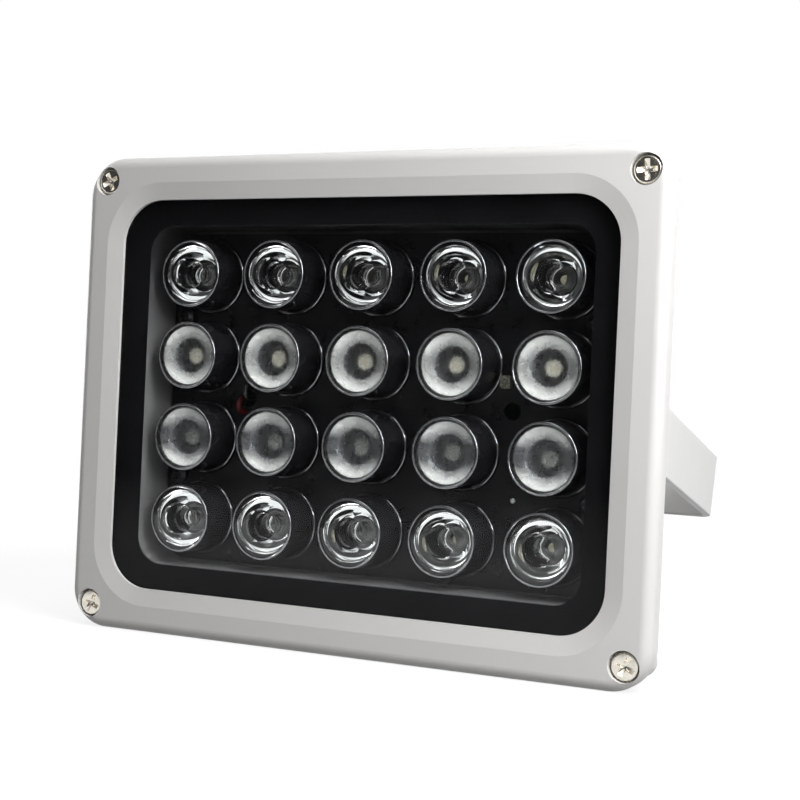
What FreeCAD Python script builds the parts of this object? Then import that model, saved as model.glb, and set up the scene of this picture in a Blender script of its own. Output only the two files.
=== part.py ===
import FreeCAD, Part
import math
import os
import re

import Sketcher
from FreeCAD import Vector

# Infrared illuminator: a die-cast head with twenty lensed emitters behind glass, on a tilting U bracket.
# Row frame: origin at the middle of the bracket's wall face, +Z up, the head faces -Y.
# Head frame: x to the right, depth back from the seats of the bezel screws, z up from the middle.

SIZES = {
    # bracket, a flat strip bent to a U
    "rest_tilt": 14.5,
    "strip_width": 19,
    "strip_thickness": 2.5,
    "arm_reach": 86,
    "bend_inner": 1.5,
    "strip_round": 0.4,
    "arm_end_round": 9.4,
    "wall_hole_diameter": 5.5,
    "wall_hole_spacing": 70,
    "centre_hole_diameter": 8.5,
    # pivot
    "pivot_depth": 21,
    "pivot_diameter": 6,
    "pivot_clearance": 0.08,
    "arm_side_gap": 0.1,
    "pivot_boss_diameter": 17,
    "pivot_boss_rise": 1.4,
    "pivot_thread_depth": 4.2,
    "bolt_tip_gap": 0.2,
    "thread_clearance": 0.05,
    "washer_thickness": 1.6,
    "washer_diameter": 11,
    "washer_slit": 0.9,
    "bolt_head_flats": 10,
    "bolt_head_height": 4,
    # bezel
    "bezel_width": 180,
    "bezel_height": 140,
    "bezel_corner": 11.5,
    "bezel_front": 1.2,
    "bezel_thickness": 6.2,
    "bezel_round": 3.2,
    "rim_side": 13,
    "rim_top": 12.75,
    "opening_corner": 13,
    "bevel_width": 5,
    "bevel_drop": 1.1,
    "lip_thickness": 1,
    "screw_inset": 7,
    "screw_seat_diameter": 8.4,
    "screw_head_diameter": 7.5,
    "screw_head_height": 2.2,
    "screw_hole_diameter": 4.4,
    "screw_diameter": 4,
    "screw_length": 11,
    "screw_crown_share": 0.62,
    "screw_edge_share": 0.4,
    "cross_length": 4.4,
    "cross_width": 1.2,
    "cross_depth": 1.3,
    # glass and its gasket
    "glass_lap": 4,
    "glass_clearance": 0.3,
    "glass_thickness": 3,
    "gasket_thickness": 1.4,
    "gasket_skirt": 4,
    # rear housing
    "flange_inset": 1.5,
    "flange_corner": 13,
    "flange_thickness": 4,
    "flange_round": 1.2,
    "side_wall": 3.5,
    "top_wall": 5,
    "shell_corner": 13,
    "shell_straight": 16.5,
    "taper_side": 10,
    "taper_top": 9,
    "back_corner": 16,
    "back_depth": 46,
    "back_wall": 3.5,
    "chamber_lap_side": 6.5,
    "chamber_lap_top": 7.25,
    "chamber_corner": 9,
    "bay_wall": 5,
    "bay_corner": 8,
    "fin_count": 12,
    "fin_margin": 7.7,
    "fin_thickness": 2.6,
    "fin_tip_depth": 58,
    "fin_root_step": 0.5,
    "fin_shoulder_step": 6,
    "fin_tip_step": 13,
    "fin_tip_round": 0.8,
    "fin_shoulder": 6,
    "fin_root_overlap": 2,
    "screw_boss_diameter": 9,
    "screw_boss_depth": 14,
    # boards
    "board_depth": 18.8,
    "board_thickness": 1.6,
    "board_clearance": 0.8,
    "board_corner": 7,
    "board_screw_diameter": 3,
    "board_screw_hole": 3.4,
    "board_screw_head": 5.5,
    "board_screw_head_height": 1.8,
    "board_screw_length": 8,
    "board_screw_inset": 5,
    "board_cross_length": 3.3,
    "hole_run_out": 0.5,
    "cut_run_out": 1,
    "post_diameter": 8,
    "driver_margin": 13,
    "driver_height": 46,
    "driver_corner": 2,
    "driver_standoff": 3.5,
    "driver_screw_inset": 4,
    "transformer_x": -15,
    "transformer_width": 20,
    "transformer_height": 17,
    "transformer_depth": 13,
    "transformer_corner": 1,
    "coil_width": 12,
    "coil_height": 22,
    "coil_corner": 2,
    "coil_inset": 2.5,
    "coil_depth": 9,
    "capacitor_x": 23,
    "capacitor_diameter": 10,
    "capacitor_length": 15,
    "capacitor_edge": 0.6,
    "groove_place": 2.2,
    "groove_half_width": 0.8,
    "groove_depth": 0.5,
    "sensor_shift": 1.9,
    "sensor_z": 8,
    "sensor_width": 3,
    "sensor_height": 3.6,
    "sensor_depth": 2,
    "sensor_corner": 0.8,
    # leads
    "lead_diameter": 1.6,
    "lead_hole": 5,
    "lead_spacing": 2.2,
    "lead_rise": 1.8,
    "lead_bend": 2,
    # lens grid
    "lens_columns": 5,
    "lens_rows": 4,
    "grid_margin_side": 3.1,
    "grid_margin_top": 2.85,
    "holder_foot": 22,
    "holder_foot_height": 1.2,
    "holder_base": 20.6,
    "holder_rim": 19.8,
    "holder_height": 13.3,
    "holder_foot_round": 0.5,
    "holder_rim_round": 0.35,
    "lens_diameter": 18.4,
    "lens_clearance": 0.1,
    "lens_set_back": 0.3,
    "lens_flange": 1.2,
    "lens_shoulder": 16.8,
    "lens_flank_radius": 14,
    "lens_tail": 9,
    "lens_cup_diameter": 5.6,
    "lens_cup_depth": 2.6,
    "lens_tail_height": 2,
    "holder_throat": 10,
    "holder_throat_height": 1.8,
    "well_diameter": 9,
    "well_bottom": 7,
    "well_depth": 5.2,
    "emitter_diameter": 7.6,
    "emitter_height": 1,
    "dome_diameter": 4.6,
    "dome_height": 0.6,
    "dome_flat": 2.8,
    # cable gland
    "gland_inset": 11.5,
    "gland_boss_diameter": 18,
    "gland_boss_height": 4,
    "gland_relief": 26,
    "gland_thread": 12,
    "gland_flats": 15,
    "gland_hex_height": 4.5,
    "gland_neck": 11,
    "gland_neck_height": 8,
    "gland_collar_overlap": 1,
    "gland_nut_diameter": 15,
    "gland_nut_height": 9.5,
    "gland_nut_straight": 6.7,
    "gland_nut_gap": 0.3,
    "gland_nut_lip": 1.2,
    "gland_cap": 1.5,
    "gland_seal_diameter": 8.6,
    "cable_bore": 6.2,
    "cable_way": 7,
}

# lengths that several pieces share, worked out from the sizes above
DERIVED = {
    "opening_width": "=bezel_width - 2 * rim_side",
    "opening_height": "=bezel_height - 2 * rim_top",
    "chamber_width": "=opening_width - 2 * chamber_lap_side",
    "chamber_height": "=opening_height - 2 * chamber_lap_top",
    "shell_width": "=chamber_width + 2 * side_wall",
    "shell_height": "=chamber_height + 2 * top_wall",
    "back_width": "=shell_width - 2 * taper_side",
    "back_height": "=shell_height - 2 * taper_top",
    "bay_width": "=back_width - 2 * bay_wall",
    "bay_height": "=back_height - 2 * bay_wall",
    "arm_span": "=shell_width + 2 * (pivot_boss_rise + arm_side_gap + strip_thickness)",
    "fin_pitch": "=(back_width - 2 * fin_margin - fin_thickness) / (fin_count - 1)",
    "column_pitch": "=(chamber_width - 2 * grid_margin_side - holder_foot) / (lens_columns - 1)",
    "row_pitch": "=(chamber_height - 2 * grid_margin_top - holder_foot) / (lens_rows - 1)",
    "lead_hole_x": "=1.5 * column_pitch",
    "sensor_x": "=lead_hole_x - sensor_shift",
    "driver_width": "=bay_width - 2 * driver_margin",
    "gland_drop": "=back_height / 2 - gland_inset",
    "reach_back": "=arm_reach * cos(rest_tilt * 1 deg)",
    "reach_down": "=arm_reach * sin(rest_tilt * 1 deg)",
    "head_y": "=-(pivot_depth + reach_back)",
    "head_z": "=reach_down",
    "arm_inner": "=arm_span / 2 - strip_thickness",
    "boss_face": "=arm_inner - arm_side_gap",
    "washer_face": "=arm_span / 2 + arm_side_gap",
    "glass_depth": "=bevel_drop + lip_thickness - bezel_front",
    "glass_back": "=glass_depth + glass_thickness",
    "rim_depth": "=glass_back + gasket_thickness",
    "bezel_back": "=bezel_thickness - bezel_front",
    "flange_back": "=rim_depth + flange_thickness",
    "shell_bend": "=rim_depth + shell_straight",
    "screw_x": "=bezel_width / 2 - screw_inset",
    "screw_z": "=bezel_height / 2 - screw_inset",
    "recess_width": "=opening_width + 2 * glass_lap + 2 * glass_clearance",
    "recess_height": "=opening_height + 2 * glass_lap + 2 * glass_clearance",
    "glass_width": "=opening_width + 2 * glass_lap",
    "glass_height": "=opening_height + 2 * glass_lap",
    "glass_corner": "=opening_corner + glass_lap / 2",
    "ledge_depth": "=board_depth + board_thickness",
    "bay_floor": "=back_depth - back_wall",
    "driver_back": "=bay_floor - driver_standoff",
    "driver_front": "=driver_back - board_thickness",
    "gland_face": "=back_depth + gland_boss_height",
    "lens_top": "=holder_height - lens_set_back",
    "holder_bore": "=lens_diameter / 2 + lens_clearance",
}

COLUMNS = SIZES["lens_columns"]
ROWS = SIZES["lens_rows"]
FROSTED_ROWS = (2, 3)

doc = FreeCAD.newDocument("infrared_illuminator")
sheet = doc.addObject("Spreadsheet::Sheet", "sizes")


def fill_sheet():
    """Write every size and every derived length to the sheet, each under its own alias."""
    cells = list(SIZES.items()) + list(DERIVED.items())
    for row, (name, value) in enumerate(cells, start=1):
        sheet.set("A%d" % row, name)
        sheet.set("B%d" % row, str(value))
        sheet.setAlias("B%d" % row, name)
    doc.recompute()


def on_sheet(text):
    """The expression with each size's name led back to the sheet."""
    aliases = {**SIZES, **DERIVED}
    known = lambda word: "sizes." + word.group() if word.group() in aliases else word.group()
    return re.sub(r"[a-z][a-z_]+", known, text)


def number(text):
    """The expression's present value."""
    value = sheet.evalExpression(on_sheet(text))
    return float(getattr(value, "Value", value))


def bind(item, path, text):
    """Tie one property of an object to an expression of the sheet's sizes."""
    item.setExpression(path, on_sheet(text))


def place(item, x="0", y="0", z="0"):
    """Tie an object's position to three expressions."""
    for axis, text in (("x", x), ("y", y), ("z", z)):
        bind(item, "Placement.Base." + axis, text)


def head_body(name, x="0", y="0", z="0"):
    """A body of the head, at a place given in the head frame."""
    body = doc.addObject("PartDesign::Body", name)
    body.Label = name
    body.AllowCompound = True
    place(body, x, "head_y + (%s)" % y, "head_z + (%s)" % z)
    return body


def datum(body, role):
    """One of the body's own origin planes or axes."""
    return next(item for item in body.Origin.OriginFeatures if item.Role == role)


def sketch(body, role, name, x="0", y="0", z="0"):
    """An empty sketch on an origin plane, moved in that plane by x and y and off it by z."""
    item = body.newObject("Sketcher::SketchObject", name)
    item.AttachmentSupport = [(datum(body, role), "")]
    item.MapMode = "FlatFace"
    for axis, text in (("x", x), ("y", y), ("z", z)):
        bind(item, "AttachmentOffset.Base." + axis, text)
    return item


def front_sketch(body, name, depth):
    """An empty sketch that faces the viewer, at a depth of the head frame."""
    return sketch(body, "XZ_Plane", name, z="-(%s)" % depth)


def pin(item, geometry, end, x, y):
    """Hold one point of a sketch at two expressions."""
    for kind, text in (("DistanceX", x), ("DistanceY", y)):
        index = item.addConstraint(Sketcher.Constraint(kind, -1, 1, geometry, end, number(text)))
        bind(item, "Constraints[%d]" % index, text)


def arc_between(start, end, radius, side):
    """The arc from start to end with its centre on the left (side 1) or the right (side -1)."""
    chord = end - start
    half = chord.Length / 2
    across = Vector(-chord.y, chord.x, 0).normalize()
    centre = (start + end) / 2 + across * side * math.sqrt(max(radius ** 2 - half ** 2, 0))
    first, last = (start, end) if side > 0 else (end, start)
    angles = [math.atan2(point.y - centre.y, point.x - centre.x) for point in (first, last)]
    return Part.ArcOfCircle(Part.Circle(centre, Vector(0, 0, 1), radius), angles[0], angles[1])


def outline(item, points, arcs=None):
    """Draw a closed outline. Edge n leaves point n, and arcs maps an edge to its radius and side."""
    arcs = arcs or {}
    values = [Vector(number(x), number(y), 0) for x, y in points]
    count = len(points)
    first = item.GeometryCount
    ends = []
    for edge in range(count):
        start, end = values[edge], values[(edge + 1) % count]
        if edge in arcs:
            radius, side = arcs[edge]
            item.addGeometry(arc_between(start, end, number(radius), side), False)
            ends.append((1, 2) if side > 0 else (2, 1))
        else:
            item.addGeometry(Part.LineSegment(start, end), False)
            ends.append((1, 2))
    for edge in range(count):
        after = (edge + 1) % count
        joint = (first + edge, ends[edge][1], first + after, ends[after][0])
        item.addConstraint(Sketcher.Constraint("Coincident", *joint))
        pin(item, first + edge, ends[edge][0], *points[edge])
    for edge, (radius, side) in arcs.items():
        index = item.addConstraint(Sketcher.Constraint("Radius", first + edge, number(radius)))
        bind(item, "Constraints[%d]" % index, radius)


def rounded_box(item, width, height, corner):
    """Draw a rounded rectangle about the sketch's origin."""
    right, top = "(%s) / 2" % width, "(%s) / 2" % height
    points = []
    for x_sign, y_sign, flat_first in ((1, -1, False), (1, 1, True), (-1, 1, False), (-1, -1, True)):
        on_side = ("%d * (%s)" % (x_sign, right), "%d * (%s - (%s))" % (y_sign, top, corner))
        on_end = ("%d * (%s - (%s))" % (x_sign, right, corner), "%d * (%s)" % (y_sign, top))
        points += [on_side, on_end] if flat_first else [on_end, on_side]
    outline(item, points, {edge: (corner, 1) for edge in (0, 2, 4, 6)})


def circle(item, x, y, diameter):
    """Draw a circle held at two expressions."""
    radius = "(%s) / 2" % diameter
    shape = Part.Circle(Vector(number(x), number(y), 0), Vector(0, 0, 1), number(radius))
    geometry = item.addGeometry(shape, False)
    pin(item, geometry, 3, x, y)
    index = item.addConstraint(Sketcher.Constraint("Radius", geometry, number(radius)))
    bind(item, "Constraints[%d]" % index, radius)


def hexagon(item, x, y, flats):
    """Draw a hexagon with two flats upright."""
    half, point = "(%s) / 2" % flats, "(%s) / 2 / cos(30 deg)" % flats
    ring = []
    for x_share, y_share in ((1, -0.5), (1, 0.5), (0, 1), (-1, 0.5), (-1, -0.5), (0, -1)):
        ring.append(("%s + %g * %s" % (x, x_share, half), "%s + %g * %s" % (y, y_share, point)))
    outline(item, ring)


def swept(body, kind, profile, name, length, back=False):
    """A pad or pocket of a sketch; back sends it the other way."""
    item = body.newObject("PartDesign::" + kind, name)
    item.Profile = profile
    bind(item, "Length", length)
    item.Reversed = back
    return item


def loft(body, kind, first, last, name):
    """A loft between two outlines of like corners."""
    item = body.newObject("PartDesign::" + kind, name)
    item.Profile = first
    item.Sections = [last]
    item.Ruled = True
    return item


def turned(body, profile, name, axis="V_Axis"):
    """A full turn of a sketch about one of its own axes."""
    item = body.newObject("PartDesign::Revolution", name)
    item.Profile = profile
    item.ReferenceAxis = (profile, [axis])
    item.Angle = 360
    return item


def mirrored(body, features, name):
    """The features again on the other side of the middle plane."""
    item = body.newObject("PartDesign::Mirrored", name)
    item.Originals = features
    item.MirrorPlane = (datum(body, "YZ_Plane"), [""])
    body.Tip = item
    return item


def rounded_edges(body, name, radius, wanted):
    """A fillet of every edge of the body's tip that the test wants."""
    doc.recompute()
    base = body.Tip
    names = ["Edge%d" % (n + 1) for n, edge in enumerate(base.Shape.Edges) if wanted(edge)]
    item = body.newObject("PartDesign::Fillet", name)
    item.Base = (base, names)
    bind(item, "Radius", radius)
    return item


def lies_at(edge, axis, value):
    """True if the whole edge lies at one coordinate."""
    box = edge.BoundBox
    low, high = getattr(box, axis + "Min"), getattr(box, axis + "Max")
    return abs(low - value) < 0.001 and abs(high - value) < 0.001


def corner_screws():
    """The bezel screws' places in the head frame."""
    return [("%d * screw_x" % x, "%d * screw_z" % z) for x in (-1, 1) for z in (-1, 1)]


def board_screws_led():
    """The places of the LED board's screws, near its upright edges and between lens rows."""
    x = "(chamber_width / 2 - board_screw_inset)"
    return [("%d * %s" % (i, x), "%d * row_pitch" % k) for i in (-1, 1) for k in (-1, 1)]


def board_screws_driver():
    """The places of the driver board's screws."""
    x, z = "(driver_width / 2 - driver_screw_inset)", "(driver_height / 2 - driver_screw_inset)"
    return [("%d * %s" % (i, x), "%d * %s" % (k, z)) for i in (-1, 1) for k in (-1, 1)]


def make_bracket():
    body = doc.addObject("PartDesign::Body", "u_bracket")
    body.Label = "u_bracket"
    body.Placement.Rotation.Axis = Vector(1, 0, 0)
    bind(body, "Placement.Rotation.Angle", "-rest_tilt")
    side, thick, bend = "arm_span / 2", "strip_thickness", "bend_inner"
    outer = "(bend_inner + strip_thickness)"
    end = "-(arm_reach + strip_width / 2)"
    profile = sketch(body, "XY_Plane", "strip_profile", z="-strip_width / 2")
    right = [
        (side, end),
        (side, "-" + outer),
        ("%s - %s" % (side, outer), "0"),
    ]
    left = [("-(%s)" % x, y) for x, y in reversed(right)]
    inner_left = [
        ("-(%s - %s)" % (side, thick), end),
        ("-(%s - %s)" % (side, thick), "-%s" % outer),
        ("-(%s - %s)" % (side, outer), "-%s" % thick),
    ]
    inner_right = [(x[1:], y) for x, y in reversed(inner_left)]
    bends = {1: (outer, 1), 3: (outer, 1), 7: (bend, -1), 9: (bend, -1)}
    outline(profile, right + left + inner_left + inner_right, bends)
    swept(body, "Pad", profile, "strip", "strip_width")
    half, tip = number("strip_width / 2"), number(end)
    at_tip = lambda edge: lies_at(edge, "Y", tip) and (lies_at(edge, "Z", half) or lies_at(edge, "Z", -half))
    rounded_edges(body, "arm_ends", "arm_end_round", at_tip)
    along = lambda edge: lies_at(edge, "Z", half) or lies_at(edge, "Z", -half)
    rounded_edges(body, "strip_edges", "strip_round", along)
    pivots = sketch(body, "YZ_Plane", "pivot_holes_profile", z="arm_span / 2 + cut_run_out")
    circle(pivots, "-arm_reach", "0", "pivot_diameter + 2 * pivot_clearance")
    swept(body, "Pocket", pivots, "pivot_holes", "arm_span + 2 * cut_run_out")
    holes = sketch(body, "XZ_Plane", "wall_holes_profile", z="strip_thickness + cut_run_out")
    circle(holes, "0", "0", "centre_hole_diameter")
    for sign in ("", "-"):
        circle(holes, sign + "wall_hole_spacing / 2", "0", "wall_hole_diameter")
    swept(body, "Pocket", holes, "wall_holes", "strip_thickness + 2 * cut_run_out")
    return body


def make_pivot_bolts():
    body = head_body("pivot_bolts")
    shank = sketch(body, "XY_Plane", "shank_profile", y="pivot_depth")
    tip = "boss_face - pivot_thread_depth + bolt_tip_gap"
    radius, thread = "pivot_diameter / 2", "pivot_diameter / 2 - thread_clearance"
    under_head = "washer_face + washer_thickness"
    outline(shank, [
        (tip, "0"),
        (under_head + " + bolt_head_height", "0"),
        (under_head + " + bolt_head_height", radius),
        ("boss_face", radius),
        ("boss_face", thread),
        (tip, thread),
    ])
    stem = turned(body, shank, "shank", "H_Axis")
    hex_profile = sketch(body, "YZ_Plane", "hex_profile", z=under_head)
    hexagon(hex_profile, "pivot_depth", "0", "bolt_head_flats")
    head = swept(body, "Pad", hex_profile, "hex_head", "bolt_head_height")
    mirrored(body, [stem, head], "both_bolts")
    return body


def make_lock_washers():
    body = head_body("lock_washers")
    ring = sketch(body, "YZ_Plane", "ring_profile", z="washer_face")
    circle(ring, "pivot_depth", "0", "washer_diameter")
    circle(ring, "pivot_depth", "0", "pivot_diameter + 2 * thread_clearance")
    washer = swept(body, "Pad", ring, "ring", "washer_thickness")
    slit_profile = sketch(body, "YZ_Plane", "slit_profile", z="washer_face + washer_thickness")
    low, high = "pivot_depth - washer_slit / 2", "pivot_depth + washer_slit / 2"
    outline(slit_profile, [(low, "0"), (high, "0"), (high, "washer_diameter"), (low, "washer_diameter")])
    slit = swept(body, "Pocket", slit_profile, "slit", "washer_thickness")
    mirrored(body, [washer, slit], "both_washers")
    return body


def make_bezel():
    body = head_body("front_bezel")
    frame = front_sketch(body, "frame_profile", "-bezel_front")
    rounded_box(frame, "bezel_width", "bezel_height", "bezel_corner")
    swept(body, "Pad", frame, "frame", "bezel_thickness", back=True)
    front = number("-bezel_front")
    rounded_edges(body, "front_round", "bezel_round", lambda edge: lies_at(edge, "Y", front))
    wide = front_sketch(body, "bevel_outer", "-bezel_front")
    rounded_box(wide, "opening_width + 2 * bevel_width", "opening_height + 2 * bevel_width",
                "opening_corner + bevel_width")
    narrow = front_sketch(body, "bevel_inner", "bevel_drop - bezel_front")
    rounded_box(narrow, "opening_width", "opening_height", "opening_corner")
    loft(body, "SubtractiveLoft", wide, narrow, "bevel")
    window = front_sketch(body, "opening_profile", "bevel_drop - bezel_front")
    rounded_box(window, "opening_width", "opening_height", "opening_corner")
    swept(body, "Pocket", window, "opening", "bezel_thickness")
    recess = front_sketch(body, "recess_profile", "glass_depth")
    rounded_box(recess, "recess_width", "recess_height", "glass_corner + glass_clearance")
    swept(body, "Pocket", recess, "glass_recess", "bezel_thickness")
    seats = front_sketch(body, "seats_profile", "-bezel_front")
    holes = front_sketch(body, "holes_profile", "-bezel_front")
    for x, z in corner_screws():
        circle(seats, x, z, "screw_seat_diameter")
        circle(holes, x, z, "screw_hole_diameter")
    swept(body, "Pocket", seats, "screw_seats", "bezel_front + screw_head_height")
    swept(body, "Pocket", holes, "screw_holes", "bezel_thickness")
    return body


def make_glass():
    body = head_body("front_glass")
    pane = front_sketch(body, "pane_profile", "glass_depth")
    rounded_box(pane, "glass_width", "glass_height", "glass_corner")
    swept(body, "Pad", pane, "pane", "glass_thickness", back=True)
    return body


def make_gasket():
    """The seal behind the glass, with a thin skirt between the bezel and the flange."""
    body = head_body("glass_gasket")
    ring = front_sketch(body, "ring_profile", "glass_back")
    rounded_box(ring, "glass_width", "glass_height", "glass_corner")
    rounded_box(ring, "chamber_width", "chamber_height", "chamber_corner")
    swept(body, "Pad", ring, "ring", "gasket_thickness", back=True)
    skirt = front_sketch(body, "skirt_profile", "bezel_back")
    rounded_box(skirt, "recess_width + 2 * gasket_skirt", "recess_height + 2 * gasket_skirt",
                "glass_corner + glass_clearance + gasket_skirt")
    rounded_box(skirt, "chamber_width", "chamber_height", "chamber_corner")
    swept(body, "Pad", skirt, "skirt", "rim_depth - bezel_back", back=True)
    return body


def make_housing():
    body = head_body("rear_housing")
    flange = front_sketch(body, "flange_profile", "rim_depth")
    rounded_box(flange, "bezel_width - 2 * flange_inset", "bezel_height - 2 * flange_inset", "flange_corner")
    swept(body, "Pad", flange, "flange", "flange_thickness", back=True)
    back = number("flange_back")
    rounded_edges(body, "flange_edge", "flange_round", lambda edge: lies_at(edge, "Y", back))
    shell = front_sketch(body, "shell_profile", "rim_depth")
    rounded_box(shell, "shell_width", "shell_height", "shell_corner")
    swept(body, "Pad", shell, "shell", "shell_straight", back=True)
    wide = front_sketch(body, "tail_front", "shell_bend")
    rounded_box(wide, "shell_width", "shell_height", "shell_corner")
    narrow = front_sketch(body, "tail_back", "back_depth")
    rounded_box(narrow, "back_width", "back_height", "back_corner")
    loft(body, "AdditiveLoft", wide, narrow, "tail")
    add_fins(body)
    add_bosses(body)
    cut_housing(body)
    add_posts(body)
    return body


def add_fins(body):
    """Upright cooling fins, spaced evenly over the back."""
    first = "-(fin_count - 1) / 2 * fin_pitch - fin_thickness / 2"
    profile = sketch(body, "YZ_Plane", "fin_profile", z=first)
    upper = [
        ("fin_tip_depth", "shell_height / 2 - fin_tip_step"),
        ("fin_tip_depth - fin_shoulder", "shell_height / 2 - fin_shoulder_step"),
        ("shell_bend - fin_root_overlap", "shell_height / 2 - fin_root_step"),
    ]
    lower = [(y, "-(%s)" % z) for y, z in reversed(upper)]
    outline(profile, upper + lower)
    fin = swept(body, "Pad", profile, "fin", "fin_thickness")
    row = body.newObject("PartDesign::LinearPattern", "fins")
    row.Originals = [fin]
    row.Direction = (datum(body, "X_Axis"), [""])
    bind(row, "Length", "(fin_count - 1) * fin_pitch")
    bind(row, "Occurrences", "fin_count")
    body.Tip = row
    tip = number("fin_tip_depth")
    along = lambda edge: lies_at(edge, "Y", tip) and edge.BoundBox.ZLength > edge.BoundBox.XLength
    rounded_edges(body, "fin_tips", "fin_tip_round", along)


def add_bosses(body):
    """Pivot bosses on the sides, screw bosses behind the flange and the gland's boss at the back."""
    pivot = sketch(body, "YZ_Plane", "pivot_boss_profile", z="-boss_face")
    circle(pivot, "pivot_depth", "0", "pivot_boss_diameter")
    swept(body, "Pad", pivot, "pivot_bosses", "2 * boss_face")
    corners = front_sketch(body, "screw_boss_profile", "rim_depth")
    for x, z in corner_screws():
        circle(corners, x, z, "screw_boss_diameter")
    swept(body, "Pad", corners, "screw_bosses", "screw_boss_depth - rim_depth", back=True)
    gland = front_sketch(body, "gland_boss_profile", "bay_floor")
    circle(gland, "0", "-gland_drop", "gland_boss_diameter")
    swept(body, "Pad", gland, "gland_boss", "gland_face - bay_floor", back=True)


def cut_housing(body):
    """The lens chamber, the driver bay behind it, and the holes."""
    relief = front_sketch(body, "gland_relief_profile", "gland_face")
    circle(relief, "0", "-gland_drop", "gland_relief")
    swept(body, "Pocket", relief, "gland_relief", "fin_tip_depth - back_depth")
    chamber = front_sketch(body, "chamber_profile", "rim_depth")
    rounded_box(chamber, "chamber_width", "chamber_height", "chamber_corner")
    swept(body, "Pocket", chamber, "chamber", "ledge_depth - rim_depth")
    bay = front_sketch(body, "bay_profile", "ledge_depth")
    rounded_box(bay, "bay_width", "bay_height", "bay_corner")
    swept(body, "Pocket", bay, "bay", "bay_floor - ledge_depth")
    screws = front_sketch(body, "screw_thread_profile", "rim_depth")
    for x, z in corner_screws():
        circle(screws, x, z, "screw_diameter")
    swept(body, "Pocket", screws, "screw_threads", "screw_length - rim_depth + hole_run_out")
    for side, sign in (("right", ""), ("left", "-")):
        thread = sketch(body, "YZ_Plane", side + "_thread_profile", z=sign + "boss_face")
        circle(thread, "pivot_depth", "0", "pivot_diameter")
        swept(body, "Pocket", thread, side + "_pivot_thread", "pivot_thread_depth", back=bool(sign))
    entry = front_sketch(body, "gland_thread_profile", "bay_floor")
    circle(entry, "0", "-gland_drop", "gland_thread")
    swept(body, "Pocket", entry, "gland_thread_hole", "gland_face - bay_floor")


def add_posts(body):
    """The driver board's posts, and the blind holes of both boards' screws."""
    reach = "board_screw_length - board_screw_head_height - board_thickness + hole_run_out"
    holes = front_sketch(body, "led_holes_profile", "ledge_depth")
    for x, z in board_screws_led():
        circle(holes, x, z, "board_screw_diameter")
    swept(body, "Pocket", holes, "led_holes", reach)
    standoffs = front_sketch(body, "standoffs_profile", "driver_back")
    for x, z in board_screws_driver():
        circle(standoffs, x, z, "post_diameter")
    swept(body, "Pad", standoffs, "standoffs", "driver_standoff", back=True)
    driver_holes = front_sketch(body, "driver_holes_profile", "driver_back")
    for x, z in board_screws_driver():
        circle(driver_holes, x, z, "board_screw_diameter")
    swept(body, "Pocket", driver_holes, "driver_holes", reach)


def add_crosses(body, places, depth, length, name):
    """Cross recesses in the screw heads at the places."""
    profile = front_sketch(body, name + "_profile", depth)
    long, thin = "%s / 2" % length, "cross_width / 2"
    for x, z in places:
        quarter = [(long, thin), (thin, thin), (thin, long)]
        turns = ((1, 1, False), (-1, 1, True), (-1, -1, False), (1, -1, True))
        points = []
        for i, k, flip in turns:
            steps = list(reversed(quarter)) if flip else quarter
            points += [("%s + %d * %s" % (x, i, a), "%s + %d * %s" % (z, k, b)) for a, b in steps]
        outline(profile, points)
    swept(body, "Pocket", profile, name, "cross_depth")


def add_screw(body, name, x, z, top, sizes):
    """One pan-head screw, turned about its own axis, with its head's top at a depth."""
    head, height, shank, length = sizes
    profile = sketch(body, "XY_Plane", name + "_profile", x=x, y=top, z=z)
    outline(profile, [
        ("0", "0"),
        ("screw_crown_share * %s / 2" % head, "0"),
        ("%s / 2" % head, "screw_edge_share * %s" % height),
        ("%s / 2" % head, height),
        ("%s / 2 - thread_clearance" % shank, height),
        ("%s / 2 - thread_clearance" % shank, length),
        ("0", length),
    ])
    return turned(body, profile, name)


def make_bezel_screws():
    body = head_body("bezel_screws")
    sizes = ("screw_head_diameter", "screw_head_height", "screw_diameter", "screw_length")
    for index, (x, z) in enumerate(corner_screws()):
        add_screw(body, "screw_%d" % index, x, z, "0", sizes)
    add_crosses(body, corner_screws(), "0", "cross_length", "crosses")
    return body


def make_board_screws():
    body = head_body("board_screws")
    sizes = ("board_screw_head", "board_screw_head_height", "board_screw_diameter", "board_screw_length")
    groups = (("led", board_screws_led(), "board_depth"), ("driver", board_screws_driver(), "driver_front"))
    for group, places, seat in groups:
        top = seat + " - board_screw_head_height"
        for index, (x, z) in enumerate(places):
            add_screw(body, "%s_screw_%d" % (group, index), x, z, top, sizes)
        add_crosses(body, places, top, "board_cross_length", group + "_crosses")
    return body


def make_led_board():
    body = head_body("led_board")
    panel = front_sketch(body, "panel_profile", "board_depth")
    rounded_box(panel, "chamber_width - 2 * board_clearance", "chamber_height - 2 * board_clearance",
                "board_corner")
    for x, z in board_screws_led():
        circle(panel, x, z, "board_screw_hole")
    for sign in ("", "-"):
        circle(panel, sign + "lead_hole_x", "0", "lead_hole")
    swept(body, "Pad", panel, "panel", "board_thickness", back=True)
    return body


def make_driver_board():
    body = head_body("driver_board")
    panel = front_sketch(body, "panel_profile", "driver_front")
    rounded_box(panel, "driver_width", "driver_height", "driver_corner")
    for x, z in board_screws_driver():
        circle(panel, x, z, "board_screw_hole")
    swept(body, "Pad", panel, "panel", "board_thickness", back=True)
    return body


def make_transformer():
    body = head_body("driver_transformer", x="transformer_x", y="driver_front - transformer_depth")
    core = front_sketch(body, "core_profile", "0")
    rounded_box(core, "transformer_width", "transformer_height", "transformer_corner")
    swept(body, "Pad", core, "core", "transformer_depth", back=True)
    coil = front_sketch(body, "coil_profile", "coil_inset")
    rounded_box(coil, "coil_width", "coil_height", "coil_corner")
    swept(body, "Pad", coil, "coil", "coil_depth", back=True)
    return body


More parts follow.
